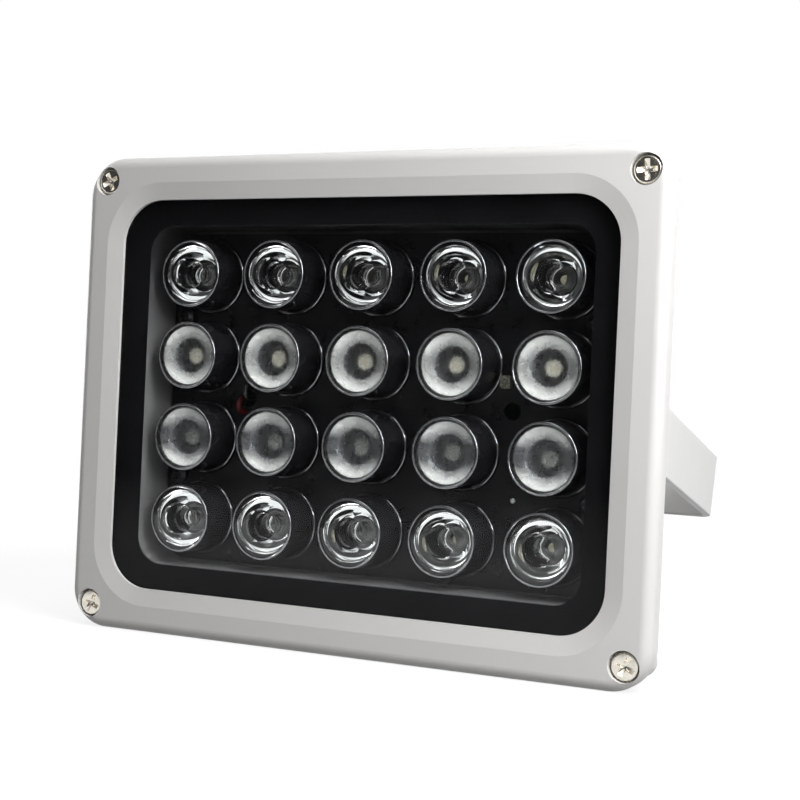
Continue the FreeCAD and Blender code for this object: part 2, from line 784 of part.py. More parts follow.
def make_capacitor():
    body = head_body("driver_capacitor", x="capacitor_x", y="driver_front")
    profile = sketch(body, "XY_Plane", "can_profile")
    radius, groove = "capacitor_diameter / 2", "capacitor_diameter / 2 - groove_depth"
    outline(profile, [
        ("0", "-capacitor_length"),
        (groove, "-capacitor_length"),
        (radius, "-capacitor_length + capacitor_edge"),
        (radius, "-(groove_place + groove_half_width)"),
        (groove, "-groove_place"),
        (radius, "-(groove_place - groove_half_width)"),
        (radius, "0"),
        ("0", "0"),
    ])
    turned(body, profile, "can")
    return body


def make_sensor():
    """The small light sensor at the right of the middle."""
    body = head_body("light_sensor", x="sensor_x", y="board_depth - sensor_depth", z="sensor_z")
    cell = front_sketch(body, "cell_profile", "0")
    rounded_box(cell, "sensor_width", "sensor_height", "sensor_corner")
    swept(body, "Pad", cell, "cell", "sensor_depth", back=True)
    return body


def make_lead(name, side):
    """A lead from the driver board through the LED board, hooked back onto its solder pad."""
    body = head_body(name, x="-lead_hole_x + %d * lead_spacing / 2" % side)
    route = sketch(body, "YZ_Plane", "route")
    top = "board_depth - lead_rise"
    out = "%d * lead_bend" % side
    far = "%d * (2 * lead_bend)" % side
    start = Vector(number("driver_front"), 0, 0)
    bend_one = Vector(number(top), 0, 0)
    crest = Vector(number(top + " - lead_bend"), number(out), 0)
    bend_two = Vector(number(top), number(far), 0)
    pad_end = Vector(number("board_depth"), number(far), 0)
    radius = number("lead_bend")
    route.addGeometry(Part.LineSegment(start, bend_one), False)
    route.addGeometry(arc_between(bend_one, crest, radius, -side), False)
    route.addGeometry(arc_between(crest, bend_two, radius, -side), False)
    route.addGeometry(Part.LineSegment(bend_two, pad_end), False)
    head, tail = (1, 2) if side < 0 else (2, 1)
    for joint in ((0, 2, 1, head), (1, tail, 2, head), (2, tail, 3, 1)):
        route.addConstraint(Sketcher.Constraint("Coincident", *joint))
    pin(route, 0, 1, "driver_front", "0")
    pin(route, 0, 2, top, "0")
    pin(route, 1, tail, top + " - lead_bend", out)
    pin(route, 3, 1, top, far)
    pin(route, 3, 2, "board_depth", far)
    for arc in (1, 2):
        index = route.addConstraint(Sketcher.Constraint("Radius", arc, radius))
        bind(route, "Constraints[%d]" % index, "lead_bend")
    section = front_sketch(body, "section", "driver_front")
    circle(section, "0", "0", "lead_diameter")
    pipe = body.newObject("PartDesign::AdditivePipe", "lead")
    pipe.Profile = section
    pipe.Spine = (route, ["Edge1", "Edge2", "Edge3", "Edge4"])
    return body


def make_emitters():
    body = head_body("led_emitters")
    for row in range(ROWS):
        for column in range(COLUMNS):
            x, z = lens_place(row, column)
            name = "emitter_%d_%d" % (row + 1, column + 1)
            profile = sketch(body, "XY_Plane", name + "_profile", x=x, y="board_depth", z=z)
            outline(profile, [
                ("0", "0"),
                ("0", "-(emitter_height + dome_height)"),
                ("dome_flat / 2", "-(emitter_height + dome_height)"),
                ("dome_diameter / 2", "-emitter_height"),
                ("emitter_diameter / 2", "-emitter_height"),
                ("emitter_diameter / 2", "0"),
            ])
            turned(body, profile, name)
    return body


def lens_place(row, column):
    """The centre of a lens, with row 0 at the top and column 0 at the left."""
    x = "%g * column_pitch" % (column - (COLUMNS - 1) / 2)
    z = "%g * row_pitch" % ((ROWS - 1) / 2 - row)
    return x, z


def make_holder(name, x, z):
    """A black lens cup that stands on the LED board."""
    body = head_body(name, x=x, y="board_depth", z=z)
    profile = sketch(body, "XY_Plane", "cup_profile")
    outline(profile, [
        ("holder_throat / 2", "0"),
        ("holder_foot / 2", "0"),
        ("holder_foot / 2", "-holder_foot_height"),
        ("holder_base / 2", "-holder_foot_height"),
        ("holder_rim / 2", "-holder_height"),
        ("holder_bore", "-holder_height"),
        ("holder_bore", "-(lens_top - lens_flange)"),
        ("lens_shoulder / 2 + lens_clearance", "-(lens_top - lens_flange)"),
        ("lens_shoulder / 2 + lens_clearance", "-holder_throat_height"),
        ("holder_throat / 2", "-holder_throat_height"),
    ])
    turned(body, profile, "cup")

    round_ring(body, "foot_edge", "holder_foot_round", "holder_foot_height", "holder_base")
    round_ring(body, "rim_edge", "holder_rim_round", "holder_height", "2 * holder_bore")
    return body


def round_ring(body, name, radius, height, inside):
    """Round the ring edge at a height above the board whose diameter is above that of an inside one."""
    level, least = -number(height), number(inside) + number(radius)

    def wanted(edge):
        return lies_at(edge, "Y", level) and edge.BoundBox.XLength > least

    rounded_edges(body, name, radius, wanted)


def make_lens(name, x, z, frosted):
    """A collimator lens that hangs by its flange in the holder, with a curved flank.

    It has a cup over its emitter, and a clear one has a well in its face.
    """
    body = head_body(name, x=x, y="board_depth", z=z)
    profile = sketch(body, "XY_Plane", "lens_profile")
    well = [
        ("0", "-(lens_top - well_depth)"),
        ("well_bottom / 2", "-(lens_top - well_depth)"),
        ("well_diameter / 2", "-lens_top"),
    ]
    face = [("0", "-lens_top")] if frosted else well
    flank = len(face) + 2
    outline(profile, face + [
        ("lens_diameter / 2", "-lens_top"),
        ("lens_diameter / 2", "-(lens_top - lens_flange)"),
        ("lens_shoulder / 2", "-(lens_top - lens_flange)"),
        ("lens_tail / 2", "-lens_tail_height"),
        ("lens_cup_diameter / 2", "-lens_tail_height"),
        ("lens_cup_diameter / 2", "-(lens_tail_height + lens_cup_depth)"),
        ("0", "-(lens_tail_height + lens_cup_depth)"),
    ], {flank: ("lens_flank_radius", 1)})
    turned(body, profile, "lens")
    return body


def make_lens_grid():
    bodies = []
    for row in range(ROWS):
        frosted = row + 1 in FROSTED_ROWS
        for column in range(COLUMNS):
            x, z = lens_place(row, column)
            spot = "r%dc%d" % (row + 1, column + 1)
            bodies.append(make_holder("lens_holder_" + spot, x, z))
            bodies.append(make_lens(("frosted_lens_" if frosted else "clear_lens_") + spot, x, z, frosted))
    return bodies


def make_gland_body():
    body = head_body("gland_body", y="gland_face", z="-gland_drop")
    profile = sketch(body, "XY_Plane", "barrel_profile")
    outline(profile, [
        ("cable_way / 2", "-(gland_face - bay_floor)"),
        ("gland_thread / 2 - thread_clearance", "-(gland_face - bay_floor)"),
        ("gland_thread / 2 - thread_clearance", "0"),
        ("gland_neck / 2", "0"),
        ("gland_neck / 2", "gland_hex_height + gland_neck_height"),
        ("gland_seal_diameter / 2", "gland_hex_height + gland_neck_height"),
        ("gland_seal_diameter / 2", "gland_hex_height"),
        ("cable_way / 2", "gland_hex_height"),
    ])
    turned(body, profile, "barrel")
    flats = front_sketch(body, "hex_profile", "0")
    hexagon(flats, "0", "0", "gland_flats")
    circle(flats, "0", "0", "gland_neck - gland_collar_overlap")
    swept(body, "Pad", flats, "hex_collar", "gland_hex_height", back=True)
    return body


def make_gland_nut():
    body = head_body("gland_nut", y="gland_face + gland_hex_height", z="-gland_drop")
    profile = sketch(body, "XY_Plane", "nut_profile")
    inside = "gland_neck / 2 + thread_clearance"
    outline(profile, [
        (inside, "gland_nut_gap"),
        ("gland_nut_diameter / 2", "gland_nut_gap"),
        ("gland_nut_diameter / 2", "gland_nut_straight"),
        ("cable_way / 2 + gland_nut_lip", "gland_nut_height + gland_cap"),
        ("cable_way / 2", "gland_nut_height + gland_cap"),
        ("cable_way / 2", "gland_neck_height + gland_cap"),
        (inside, "gland_neck_height + gland_cap"),
    ])
    turned(body, profile, "nut")
    return body


def make_gland_seal():
    body = head_body("gland_seal", y="gland_face + gland_hex_height", z="-gland_drop")
    profile = sketch(body, "XY_Plane", "seal_profile")
    outline(profile, [
        ("cable_bore / 2", "0"),
        ("gland_seal_diameter / 2", "0"),
        ("gland_seal_diameter / 2", "gland_neck_height + gland_cap"),
        ("cable_bore / 2", "gland_neck_height + gland_cap"),
    ])
    turned(body, profile, "seal")
    return body


def check(bodies):
    """Stop if any object failed or any piece has no sound solid."""
    doc.recompute()
    for item in doc.Objects:
        if "Invalid" in item.State or "Error" in item.State:
            raise RuntimeError("%s failed: %s" % (item.Name, item.State))
    for body in bodies:
        if body.Shape.isNull() or not body.Shape.isValid() or not body.Shape.Solids:
            raise RuntimeError("%s has no sound solid" % body.Label)


def main():
    fill_sheet()
    bodies = [
        make_bracket(),
        make_pivot_bolts(),
        make_lock_washers(),
        make_bezel(),
        make_bezel_screws(),
        make_glass(),
        make_gasket(),
        make_housing(),
        make_led_board(),
        make_emitters(),
        make_board_screws(),
        make_sensor(),
        make_lead("red_lead", -1),
        make_lead("black_lead", 1),
        make_driver_board(),
        make_transformer(),
        make_capacitor(),
        make_gland_body(),
        make_gland_nut(),
        make_gland_seal(),
    ]
    bodies += make_lens_grid()
    check(bodies)
    os.makedirs("parts", exist_ok=True)
    for body in bodies:
        body.Shape.exportStep("parts/%s.step" % body.Label)


main()
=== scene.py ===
import math

import bmesh
import bpy
from mathutils import Matrix, Vector

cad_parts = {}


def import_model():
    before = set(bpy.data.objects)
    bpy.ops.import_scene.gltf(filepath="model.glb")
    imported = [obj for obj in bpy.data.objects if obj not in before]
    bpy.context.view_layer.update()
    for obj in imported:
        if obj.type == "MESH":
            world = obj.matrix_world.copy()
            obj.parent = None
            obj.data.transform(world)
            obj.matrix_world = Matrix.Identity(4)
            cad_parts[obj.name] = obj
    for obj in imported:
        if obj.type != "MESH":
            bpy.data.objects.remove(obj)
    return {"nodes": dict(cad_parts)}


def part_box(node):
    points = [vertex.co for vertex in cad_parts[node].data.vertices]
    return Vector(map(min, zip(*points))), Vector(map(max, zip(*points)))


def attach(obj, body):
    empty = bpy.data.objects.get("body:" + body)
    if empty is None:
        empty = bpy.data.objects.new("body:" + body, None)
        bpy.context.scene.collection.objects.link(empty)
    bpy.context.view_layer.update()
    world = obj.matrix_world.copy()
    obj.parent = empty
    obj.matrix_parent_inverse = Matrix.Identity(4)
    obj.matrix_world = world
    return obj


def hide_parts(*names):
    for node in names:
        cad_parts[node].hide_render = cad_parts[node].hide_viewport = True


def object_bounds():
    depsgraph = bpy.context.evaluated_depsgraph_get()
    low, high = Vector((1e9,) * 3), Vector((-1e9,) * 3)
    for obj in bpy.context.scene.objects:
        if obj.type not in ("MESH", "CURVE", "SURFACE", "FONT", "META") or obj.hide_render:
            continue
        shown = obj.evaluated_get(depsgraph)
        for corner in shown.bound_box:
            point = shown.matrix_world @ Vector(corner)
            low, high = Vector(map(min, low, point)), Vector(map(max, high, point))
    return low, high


# The looks of the infrared illuminator, built round the frame that the solids are packed in
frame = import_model()
nodes = frame["nodes"]
cad_low, cad_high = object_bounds()

MM = 0.001
COLUMNS, ROWS = 5, 4
FROSTED_ROWS = (1, 2)


def corners(name):
    """A node's lowest and highest corners, in metres."""
    low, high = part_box(name)
    return Vector(low), Vector(high)


def middle(name):
    """The middle of a node's box."""
    low, high = corners(name)
    return (low + high) / 2


# The head frame has its origin level with the crowns of the bezel screws, in the middle of the bezel. Its
# millimetres run to the right, to the back and up.
HEAD = Vector((0.0, corners("bezel_screws")[0].y, middle("front_bezel").z))
BOARD_DEPTH = (corners("led_board")[0].y - HEAD.y) / MM
GLASS_BACK = (corners("front_glass")[1].y - HEAD.y) / MM
FIRST_HOLDER, LAST_HOLDER = middle("lens_holder_r1c1"), middle("lens_holder_r4c5")
COLUMN_PITCH = (LAST_HOLDER.x - FIRST_HOLDER.x) / (COLUMNS - 1) / MM
ROW_PITCH = (FIRST_HOLDER.z - LAST_HOLDER.z) / (ROWS - 1) / MM
FLOOR = cad_low.z


def at(x, depth, z):
    """A point of the head frame in the shared frame, in metres."""
    return HEAD + Vector((x, depth, z)) * MM


# Node trees

class Tree:
    """A node tree that is built up by short calls, whose inputs take values or sockets."""

    def __init__(self, tree):
        self.tree = tree

    def feed(self, socket, value):
        """Link a socket to another one, or set its value."""
        if isinstance(value, bpy.types.NodeSocket):
            self.tree.links.new(value, socket)
        else:
            socket.default_value = value

    def node(self, kind, **inputs):
        """A shader node with some of its inputs fed, whose names have _ for a space."""
        item = self.tree.nodes.new("ShaderNode" + kind)
        for name, value in inputs.items():
            self.feed(item.inputs[name.replace("_", " ")], value)
        return item

    def math(self, operation, *values):
        """A Math node's result."""
        item = self.node("Math")
        item.operation = operation
        for socket, value in zip(item.inputs, values):
            self.feed(socket, value)
        return item.outputs[0]

    def length(self, vector):
        """A vector's length."""
        item = self.node("VectorMath", Vector=vector)
        item.operation = "LENGTH"
        return item.outputs["Value"]

    def spread(self, value, low, high, start=0.3, end=0.7):
        """The value between start and end laid out from low to high."""
        item = self.node("MapRange", Value=value, From_Min=start, From_Max=end, To_Min=low, To_Max=high)
        return item.outputs["Result"]

    def mix(self, factor, first, second):
        """A colour between two colours."""
        item = self.node("Mix")
        item.data_type = "RGBA"
        for socket, value in zip((item.inputs[0], item.inputs[6], item.inputs[7]), (factor, first, second)):
            self.feed(socket, (*value, 1) if isinstance(value, tuple) else value)
        return item.outputs[2]

    def mix_shader(self, factor, first, second):
        """A shader between two shaders."""
        item = self.node("MixShader")
        for socket, value in zip(item.inputs, (factor, first, second)):
            self.feed(socket, value)
        return item.outputs[0]


class Material(Tree):
    """A node material with a Principled shader."""

    def __init__(self, name, color, rough, metallic=0.0, specular=0.5, coat=0.0, coat_rough=0.1):
        self.data = bpy.data.materials.new(name)
        self.data.use_nodes = True
        super().__init__(self.data.node_tree)
        self.shader = self.tree.nodes["Principled BSDF"]
        self.output = self.tree.nodes["Material Output"]
        self.color = color
        for socket, value in (("Base Color", (*color, 1)), ("Roughness", rough), ("Metallic", metallic),
                              ("Specular IOR Level", specular), ("Coat Weight", coat),
                              ("Coat Roughness", coat_rough)):
            self.feed(self.shader.inputs[socket], value)
        self.coords = self.node("TexCoord").outputs["Object"]
        self.normal = None

    def noise(self, scale, detail=3.0, rough=0.5):
        """Noise with features of about 1 / scale metres."""
        item = self.node("TexNoise", Vector=self.coords, Scale=scale, Detail=detail, Roughness=rough)
        return item.outputs["Fac"]

    def along(self, axis, start, end):
        """A value that runs from 0 to 1 between two places on an axis, in metres."""
        split = self.node("SeparateXYZ", Vector=self.coords)
        return self.spread(split.outputs[axis], 0.0, 1.0, start, end)

    def inner_box(self, low, high):
        """1 inside a box between two points of the shared frame, and 0 outside it."""
        split = self.node("SeparateXYZ", Vector=self.coords)
        inside = [self.math("COMPARE", split.outputs[axis], (a + b) / 2, (b - a) / 2)
                  for axis, a, b in zip("XYZ", low, high)]
        return self.math("MULTIPLY", self.math("MULTIPLY", inside[0], inside[1]), inside[2])

    def tint(self, factor, second):
        """Vary the base colour towards a second colour by a factor."""
        current = self.shader.inputs["Base Color"]
        first = current.links[0].from_socket if current.is_linked else self.color
        self.feed(current, self.mix(factor, first, second))
        return self

    def rough(self, value, low, high, start=0.3, end=0.7):
        """Vary the roughness with a texture's value."""
        self.feed(self.shader.inputs["Roughness"], self.spread(value, low, high, start, end))
        return self

    def bump(self, height, strength, distance):
        """Raise the surface by a texture's value, on top of earlier bumps."""
        item = self.node("Bump", Height=height, Strength=strength, Distance=distance)
        if self.normal:
            self.feed(item.inputs["Normal"], self.normal)
        self.normal = item.outputs["Normal"]
        self.feed(self.shader.inputs["Normal"], self.normal)
        return self


# Kinds of material

def shaded(color, share):
    """A colour brought down to a share of its brightness."""
    return tuple(c * share for c in color)


def paint(name, color, rough=0.42):
    """Fine powder coat: a faint orange-peel, cloudy gloss and a slight drift of tone."""
    item = Material(name, color, rough, specular=0.45, coat=0.12, coat_rough=0.3)
    item.tint(item.spread(item.noise(26, 4), 0, 0.5), shaded(color, 0.955))
    item.rough(item.noise(90, 3), rough - 0.05, rough + 0.07)
    item.bump(item.noise(1500, 2, 0.45), 0.16, 0.00006)
    return item.bump(item.noise(260, 2), 0.1, 0.00012)


def metal(name, color, rough, grain=2600):
    """Plated steel with a fine grain and cloudy gloss."""
    item = Material(name, color, rough, metallic=1.0)
    item.tint(item.spread(item.noise(420, 4), 0, 0.6), shaded(color, 0.78))
    item.rough(item.noise(700, 3), rough * 0.75, rough * 1.4)
    return item.bump(item.noise(grain, 2), 0.25, 0.00002)


def plastic(name, color, rough, grain=1200, strength=0.12, specular=0.5):
    """Moulded plastic with a faint grain and a cloudy gloss."""
    item = Material(name, color, rough, specular=specular)
    item.tint(item.spread(item.noise(160, 4), 0, 0.7), tuple(c * 1.35 + 0.002 for c in color))
    item.rough(item.noise(300, 3), rough * 0.75, rough * 1.35)
    return item.bump(item.noise(grain, 2), strength, 0.00003)


def see_through(item, ior):
    """Turn a Principled material to clear glass that lets light fall through it."""
    item.shader.inputs["Transmission Weight"].default_value = 1.0
    item.shader.inputs["IOR"].default_value = ior
    clear = item.node("BsdfTransparent", Color=(0.92, 0.92, 0.92, 1))
    shadow = item.node("LightPath").outputs["Is Shadow Ray"]
    surface = item.mix_shader(shadow, item.shader.outputs[0], clear.outputs[0])
    item.feed(item.output.inputs["Surface"], surface)
    return item


# The materials of single pieces, with their places in the head frame and sizes in millimetres

CHAMBER_HALF_WIDTH, CHAMBER_HALF_HEIGHT = 70.9, 50.4
CHAMBER_FRONT, CHAMBER_BACK = 1.0, 20.5
# Heights in the head frame between which the painted shade inside the chamber deepens
SHADE_START, SHADE_END = 12, 42
BOWL_RING_PITCH = 1.15
# Heights above the board where the bowl's core starts and where its colour is full
CORE_START, CORE_FULL = 10.5, 8.8


def housing_coat_and_painted_shade():
    """The housing's powder coat, with painted shade inside the chamber where the black parts would shade it,
    deepest near its top.
    """
    item = paint("housing_powder_coat_and_painted_shade", (0.63, 0.622, 0.61), 0.46)
    # Painted shade: inside the chamber the coat turns dark grey, darker towards the top
    inside = item.inner_box(at(-CHAMBER_HALF_WIDTH, CHAMBER_FRONT, -CHAMBER_HALF_HEIGHT),
                            at(CHAMBER_HALF_WIDTH, CHAMBER_BACK, CHAMBER_HALF_HEIGHT))
    height = item.along("Z", at(0, 0, SHADE_START).z, at(0, 0, SHADE_END).z)
    return item.tint(inside, item.mix(height, (0.13, 0.13, 0.13), (0.02, 0.02, 0.02)))


def sensor_ceramic():
    """Dark olive ceramic with pale speckles."""
    item = plastic("sensor_ceramic", (0.055, 0.055, 0.04), 0.3)
    return item.tint(item.spread(item.noise(2600, 2), 0, 1, 0.55, 0.72), (0.42, 0.42, 0.34))


def board_mask():
    """Black solder mask over faintly raised copper areas."""
    item = Material("black_mask", (0.004, 0.004, 0.0045), 0.3, specular=0.2)
    copper = item.node("TexVoronoi", Vector=item.coords, Scale=110.0)
    copper.feature, copper.distance = "F1", "CHEBYCHEV"
    item.tint(item.spread(item.noise(60, 3), 0, 0.8), (0.006, 0.006, 0.007))
    item.rough(item.noise(240, 3), 0.24, 0.42)
    item.bump(item.spread(copper.outputs["Distance"], 0, 1, 0.42, 0.46), 0.35, 0.00005)
    return item.bump(item.noise(2400, 2), 0.08, 0.00003)


def emitter_package():
    """Dark glossy LED package."""
    item = Material("emitter_package", (0.014, 0.014, 0.012), 0.22, coat=0.6, coat_rough=0.05)
    item.tint(item.spread(item.noise(900, 3), 0, 0.8), (0.03, 0.028, 0.02))
    return item.bump(item.noise(1800, 2), 0.2, 0.00003)


def emitter_dome():
    """The pale clear-coated dome on an LED package."""
    item = Material("emitter_dome", (0.62, 0.58, 0.44), 0.12, coat=1.0, coat_rough=0.02)
    return item.tint(item.spread(item.noise(1500, 2), 0, 1), (0.42, 0.38, 0.22))


def black_print():
    """Matt black ink on the glass."""
    item = Material("black_print", (0.003, 0.003, 0.0034), 0.5, specular=0.02)
    item.tint(item.spread(item.noise(50, 3), 0, 0.8), (0.005, 0.005, 0.0056))
    return item.bump(item.noise(1400, 2), 0.1, 0.00002)


def clear_glass():
    """Coated front glass, with a low index so that it mirrors little."""
    item = see_through(Material("clear_glass", (0.97, 0.99, 0.985), 0.0), 1.2)
    return item.rough(item.noise(70, 4), 0.0, 0.008, 0.55, 0.75)


def clear_acrylic():
    """Clear lens plastic with a faint waviness."""
    item = see_through(Material("clear_acrylic", (0.985, 0.99, 0.995), 0.0), 1.49)
    return item.bump(item.noise(700, 2), 0.03, 0.00004)


def frosted_acrylic():
    """The same plastic with a satin face."""
    item = see_through(Material("frosted_acrylic", (0.98, 0.985, 0.98), 0.3), 1.49)
    return item.rough(item.noise(500, 3), 0.24, 0.32)


def bowl_silver(name, bright, shade_and_mottle, core, rough, metallic, band):
    """The silvery bowl behind a frosted face: faint turned rings, painted shade in a band across its middle
    and a dark core. The band is its share of the shade colour, then how far from the middle it's full and it
    ends."""
    item = Material(name, bright, rough, metallic=metallic)
    split = item.node("SeparateXYZ", Vector=item.coords)
    flat = item.node("CombineXYZ", X=split.outputs["X"], Z=split.outputs["Z"])
    radius = item.length(flat.outputs["Vector"])
    ripple = item.math("SINE", item.math("MULTIPLY", radius, 2 * math.pi / (BOWL_RING_PITCH * MM)))
    item.tint(item.spread(ripple, 0, 0.35, -1, 1), shaded(bright, 0.72))
    # Painted shade: across the middle the colour goes towards the shade colour, as if less light fell there
    # than above and below; the noise after it is a random mottle
    share, full, end = band
    item.tint(item.spread(item.math("ABSOLUTE", split.outputs["Z"]), share, 0, full * MM, end * MM), shade_and_mottle)
    item.tint(item.spread(item.noise(240, 3), 0, 0.3, 0.5, 0.7), shade_and_mottle)
    item.tint(item.along("Y", -CORE_START * MM, -CORE_FULL * MM), core)
    return item.rough(item.noise(500, 3), rough * 0.8, rough * 1.25)


def frosted_spot(name, color, second):
    """The pale spot in the middle of a frosted lens, over its LED."""
    item = Material(name, color, 0.4, coat=0.4)
    return item.tint(item.spread(item.noise(900, 2), 0, 0.6), second)


def cup_edge_gloss():
    """The polished roundings of a holder, which catch the light as thin lines."""
    item = Material("cup_edge_gloss", (0.30, 0.30, 0.31), 0.16, metallic=1.0)
    item.tint(item.spread(item.noise(700, 3), 0, 0.8), (0.16, 0.16, 0.17))
    return item.rough(item.noise(900, 2), 0.12, 0.22)


nickel = metal("nickel_plate", (0.80, 0.76, 0.68), 0.2)
solder = metal("solder", (0.74, 0.74, 0.75), 0.35, 900)
cup_plastic = plastic("cup_plastic", (0.006, 0.006, 0.007), 0.09, 500, 0.05)
clear_lens = clear_acrylic()
frosted_face = frosted_acrylic()
cup_edge = cup_edge_gloss()
chip = emitter_dome()
print_ink = black_print()
# Lit and shaded copies: the upper frosted row takes the first bowl and spot, painted lighter, and the lower
# row takes the second ones, painted darker as shade
bowls = (
    bowl_silver("frosted_bowl_lit_copy", (1.0, 1.0, 0.985), (0.22, 0.22, 0.22), (0.075, 0.075, 0.083),
                0.34, 0.2, (0.85, 1.2, 5.8)),
    bowl_silver("frosted_bowl_shaded_copy", (1.0, 1.0, 0.99), (0.07, 0.07, 0.077), (0.10, 0.10, 0.11),
                0.34, 0.25, (1.0, 2.2, 6.0)),
)
spots = (
    frosted_spot("frosted_spot", (0.85, 0.81, 0.70), (0.62, 0.58, 0.44)),
    frosted_spot("frosted_spot_shaded_copy", (0.30, 0.30, 0.28), (0.2, 0.2, 0.19)),
)

for item, names in (
    (paint("bezel_powder_coat", (0.62, 0.612, 0.60)), ["front_bezel"]),
    (housing_coat_and_painted_shade(), ["rear_housing"]),
    (paint("bracket_powder_coat", (0.67, 0.668, 0.66), 0.4), ["u_bracket"]),
    (nickel, ["bezel_screws"]),
    (metal("zinc_plate", (0.66, 0.68, 0.70), 0.32), ["pivot_bolts", "lock_washers"]),
    (metal("black_oxide", (0.07, 0.07, 0.075), 0.34), ["board_screws"]),
    (plastic("silicone_rubber", (0.022, 0.022, 0.024), 0.62, 900, 0.3), ["glass_gasket", "gland_seal"]),
    (plastic("gland_nylon", (0.03, 0.03, 0.032), 0.42, 700, 0.2), ["gland_body", "gland_nut"]),
    (plastic("red_insulation", (0.042, 0.0015, 0.002), 0.45, specular=0.25), ["red_lead"]),
    (plastic("black_insulation", (0.012, 0.012, 0.013), 0.36), ["black_lead"]),
    (plastic("coil_tape", (0.62, 0.42, 0.05), 0.3), ["driver_transformer"]),
    (plastic("capacitor_sleeve", (0.018, 0.025, 0.06), 0.28), ["driver_capacitor"]),
    (plastic("green_mask", (0.012, 0.11, 0.035), 0.3), ["driver_board"]),
    (sensor_ceramic(), ["light_sensor"]),
    (board_mask(), ["led_board"]),
    (emitter_package(), ["led_emitters"]),
    (clear_glass(), ["front_glass"]),
):
    for name in names:
        data = nodes[name].data
        data.materials.clear()
        data.materials.append(item.data)


# Ways to make a mesh. A profile's points are (radius, height above the board), in millimetres.

SHARP_ANGLE = math.radians(28)
CROWN_ANGLES = (0, 0.3, 0.6, 0.9, 1.2)


def skin(build, rows, part=None, smooth=True):
    """Faces between rows of equal counts, where a row of one repeated corner closes the form."""
    for index, (one, two) in enumerate(zip(rows, rows[1:])):
        for k in range(len(one)):
            n = (k + 1) % len(one)
            face = build.faces.new(list(dict.fromkeys((one[k], one[n], two[n], two[k]))))
            face.smooth = smooth
            face.material_index = part(index) if part else 0


def finished(build, name, materials):
    """The mesh of a build, with its faces turned outwards."""
    bmesh.ops.recalc_face_normals(build, faces=build.faces)
    mesh = bpy.data.meshes.new(name)
    build.to_mesh(mesh)
    build.free()
    for item in materials:
        mesh.materials.append(item.data)
    return mesh


def turned(name, profile, materials, segments=112, part=None):
    """A mesh turned from a profile about the depth axis."""
    build = bmesh.new()
    rows = []
    for radius, height in profile:
        if radius < 1e-9:
            rows.append([build.verts.new((0, -height * MM, 0))] * segments)
            continue
        rows.append([build.verts.new((radius * MM * math.cos(a), -height * MM, radius * MM * math.sin(a)))
                     for a in (2 * math.pi * k / segments for k in range(segments))])
    skin(build, rows, part)
    mesh = finished(build, name, materials)
    mesh.set_sharp_from_angle(angle=SHARP_ANGLE)
    return mesh


def added(name, data):
    """A new object in the scene for a mesh, a camera or a light."""
    item = bpy.data.objects.new(name, data)
    bpy.context.scene.collection.objects.link(item)
    return item


def piece(name, mesh, body, place=None, stands_for=()):
    """An object of the visual model that rides on a body, and the nodes that it stands for."""
    item = added(name, mesh)
    if place is not None:
        item.location = place
    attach(item, body)
    if stands_for:
        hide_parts(*stands_for)


def arc(start, end, radius, steps):
    """Points from start to end on an arc that bulges away from the axis."""
    start, end = Vector(start), Vector(end)
    half = (end - start) / 2
    across = Vector((half.y, -half.x)).normalized()
    if across.x > 0:
        across = -across
    centre = start + half + across * math.sqrt(radius ** 2 - half.length_squared)
    first, last = start - centre, end - centre
    turn = first.angle_signed(last)
    out = []
    for k in range(steps + 1):
        a = -turn * k / steps
        c, s = math.cos(a), math.sin(a)
        out.append((centre.x + first.x * c - first.y * s, centre.y + first.x * s + first.y * c))
    return out


def crown(radius, height, rise):
    """A low dome from its edge to its top."""
    side = [(radius * math.cos(a), height + rise * math.sin(a)) for a in CROWN_ANGLES]
    return side + [(0, height + rise)]


def outer_edge(radius, height, rounding, step):
    """A rounded outer edge whose sides would meet at a radius and height."""
    return [(radius + rounding * (math.cos(a) - 1), height + rounding * (math.sin(a) - 1))
            for a in (math.radians(k) for k in range(0, 91, step))]


# Lenses

LENS_TOP, LENS_RADIUS, LENS_RIM = 13.0, 9.2, 1.2
FLANK_RADIUS, LENS_FOOT_RADIUS, LENS_FOOT = 8.4, 4.5, 2.0
WELL_RADIUS, WELL_FLOOR, WELL_RISE = 3.5, 7.4, 0.8
CUP_RADIUS, CUP_HEIGHT, CUP_RISE = 2.8, 4.1, 0.6
FACE_RADII = (0, 2, 4, 6, 8)
BOWL_RADIUS, BOWL_HEIGHT = 5.3, 9.4
FLANK_ARC, BOWL_ARC = 14, 6
DOME_RADIUS, DOME_HEIGHT, DOME_RISE = 1.15, 1.6, 0.55

flank_top = (FLANK_RADIUS, LENS_TOP - LENS_RIM)
foot = (LENS_FOOT_RADIUS, LENS_FOOT)
lens_cup = [(CUP_RADIUS, LENS_FOOT)] + crown(CUP_RADIUS, CUP_HEIGHT, CUP_RISE)
lens_rim = [(LENS_RADIUS - 0.25, LENS_TOP), (LENS_RADIUS - 0.08, LENS_TOP - 0.06),
            (LENS_RADIUS, LENS_TOP - 0.22), (LENS_RADIUS, LENS_TOP - LENS_RIM)]
well = [(WELL_RADIUS * math.sin(a), WELL_FLOOR + WELL_RISE * math.cos(a)) for a in (k / 4 for k in range(7))]
well += [(WELL_RADIUS + 0.05, WELL_FLOOR + 0.2), (WELL_RADIUS + 1.0, LENS_TOP)]
flank = arc(flank_top, foot, FLANK_ARC, 18)
clear_mesh = turned("clear_lens_mesh", well + lens_rim + flank + lens_cup, [clear_lens])

face = [(radius, LENS_TOP) for radius in FACE_RADII] + lens_rim
bowl = arc(flank_top, (BOWL_RADIUS, BOWL_HEIGHT), BOWL_ARC, 10)
bowl += [(BOWL_RADIUS - 0.3, BOWL_HEIGHT - 0.4), (BOWL_RADIUS - 0.5, BOWL_HEIGHT - 1.4), foot]
SPOT_START = len(face) + len(bowl) + 3


